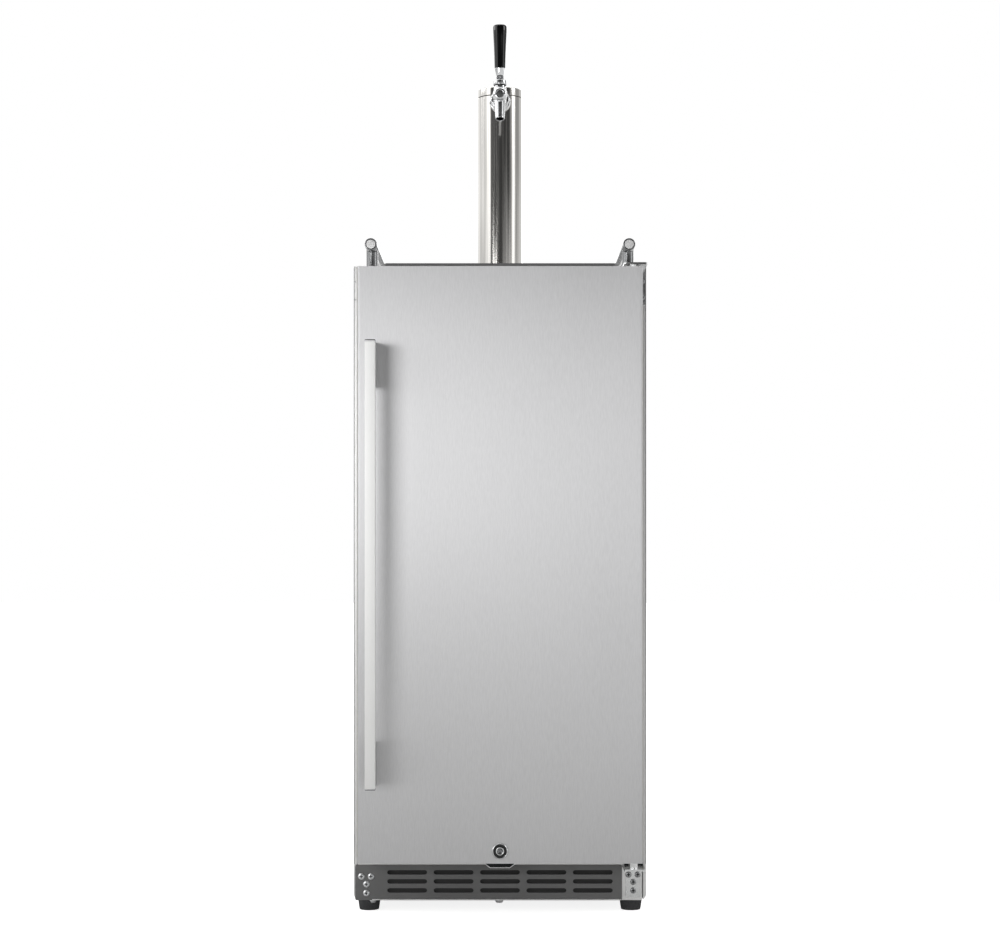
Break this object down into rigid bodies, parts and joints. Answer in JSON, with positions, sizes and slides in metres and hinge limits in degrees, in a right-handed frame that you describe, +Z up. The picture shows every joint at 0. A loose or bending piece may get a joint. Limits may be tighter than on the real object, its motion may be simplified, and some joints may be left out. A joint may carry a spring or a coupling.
{
  "type": "kegerator",
  "caption": "Narrow free-standing beer dispenser cabinet with a hinged steel door, bar handle, key lock, guard rail and a single tap tower.",
  "frame": {"origin": "on the floor under the centre of the whole object's box", "axes": "+Z up, the door faces -Y, the door's hinges are on the +X side"},
  "size_m": [0.378, 0.655, 1.1941],
  "materials": {
    "brushed_steel": "brushed stainless sheet",
    "polished_steel": "polished and plated",
    "zinc_steel": "zinc plated steel",
    "dark_paint": "dark grey powder coat",
    "black_paint": "black enamel",
    "black_plastic": "moulded black",
    "white_plastic": "vacuum formed white",
    "grey_rubber": "soft extruded seal",
    "black_rubber": "moulded foot",
    "foam": "foamed in place",
    "copper": "drawn copper tube",
    "hose": "clear hose"
  },
  "bodies": {
    "cabinet": {"left_side_panel": "brushed_steel", "right_side_panel": "brushed_steel", "top_panel": "brushed_steel", "tower_flange": "brushed_steel", "tower_column": "brushed_steel", "tower_cap": "brushed_steel", "front_frame": "brushed_steel", "lock_strike": "polished_steel", "rail_left": "polished_steel", "rail_right": "polished_steel", "rail_back": "polished_steel", "shank": "polished_steel", "coupling_ring": "polished_steel", "faucet_body": "polished_steel", "faucet_bonnet": "polished_steel", "spout": "polished_steel", "back_panel": "zinc_steel", "rear_vent_cover": "zinc_steel", "base_pan": "zinc_steel", "fan_shroud": "zinc_steel", "evaporator_coil": "zinc_steel", "upper_hinge_bracket": "zinc_steel", "lower_hinge_bracket": "zinc_steel", "top_plate": "dark_paint", "kick_plate": "dark_paint", "compressor": "black_paint", "power_inlet": "black_plastic", "drain_pan": "black_plastic", "inner_liner": "white_plastic", "evaporator_cover": "white_plastic", "thermostat_housing": "white_plastic", "foam_insulation": "foam", "condenser_coil": "copper", "beer_line": "hose"},
    "door": {"door_skin": "brushed_steel", "door_core": "foam", "door_liner": "white_plastic", "door_gasket": "grey_rubber", "door_bush_lower": "black_plastic", "door_bush_upper": "black_plastic", "handle_bar": "brushed_steel", "handle_post_lower": "brushed_steel", "handle_post_upper": "brushed_steel", "lock_housing": "polished_steel"},
    "lock": {"lock_plug": "polished_steel", "lock_cam": "zinc_steel"},
    "tap": {"tap_lever": "polished_steel", "tap_ferrule": "polished_steel", "tap_handle": "black_plastic"},
    "valve": {"valve_shaft": "polished_steel"},
    "knob": {"thermostat_knob": "white_plastic"},
    "evaporator_fan": {"evaporator_fan": "white_plastic"},
    "condenser_fan": {"condenser_fan": "black_plastic"},
    "foot_front_left": {"foot_front_left": "black_rubber"},
    "foot_front_right": {"foot_front_right": "black_rubber"},
    "foot_rear_left": {"foot_rear_left": "black_rubber"},
    "foot_rear_right": {"foot_rear_right": "black_rubber"},
    "drip_tray": {"drip_tray": "black_plastic"},
    "drip_grate": {"drip_grate": "brushed_steel"}
  },
  "joints": [
    {"name": "door_hinge", "type": "hinge", "parent": "cabinet", "child": "door", "pos_m": [0.17, -0.2555, 0.4], "axis": [0, 0, 1], "range_deg": [0, 115]},
    {"name": "lock_turn", "type": "hinge", "parent": "door", "child": "lock", "pos_m": [0, -0.2655, 0.086], "axis": [0, 1, 0], "range_deg": [0, 90]},
    {"name": "tap_tilt", "type": "hinge", "parent": "cabinet", "child": "tap", "pos_m": [0, -0.00755, 1.1121], "axis": [1, 0, 0], "range_deg": [0, 20]},
    {"name": "valve_slide", "type": "slide", "parent": "cabinet", "child": "valve", "axis": [0, 1, 0], "range_m": [0, 0.0061]},
    {"name": "knob_turn", "type": "hinge", "parent": "cabinet", "child": "knob", "pos_m": [0, -0.1775, 0.7767], "axis": [0, -1, 0], "range_deg": [0, 270]},
    {"name": "evaporator_fan_spin", "type": "hinge", "parent": "cabinet", "child": "evaporator_fan", "pos_m": [0, 0.2563, 0.71], "axis": [0, 1, 0], "continuous": true},
    {"name": "condenser_fan_spin", "type": "hinge", "parent": "cabinet", "child": "condenser_fan", "pos_m": [0.069, 0.2275, 0.0938], "axis": [1, 0, 0], "continuous": true},
    {"name": "foot_front_left_screw", "type": "slide", "parent": "cabinet", "child": "foot_front_left", "axis": [0, 0, -1], "range_m": [0, 0.015]},
    {"name": "foot_front_right_screw", "type": "slide", "parent": "cabinet", "child": "foot_front_right", "axis": [0, 0, -1], "range_m": [0, 0.015]},
    {"name": "foot_rear_left_screw", "type": "slide", "parent": "cabinet", "child": "foot_rear_left", "axis": [0, 0, -1], "range_m": [0, 0.015]},
    {"name": "foot_rear_right_screw", "type": "slide", "parent": "cabinet", "child": "foot_rear_right", "axis": [0, 0, -1], "range_m": [0, 0.015]},
    {"name": "drip_tray_lift", "type": "slide", "parent": "cabinet", "child": "drip_tray", "axis": [0, 0, 1], "range_m": [0, 0.06]},
    {"name": "drip_grate_lift", "type": "slide", "parent": "drip_tray", "child": "drip_grate", "axis": [0, 0, 1], "range_m": [0, 0.03]}
  ],
  "couplings": [
    {"joint": "valve_slide", "follows": "tap_tilt", "m_per_rad": 0.0171}
  ]
}
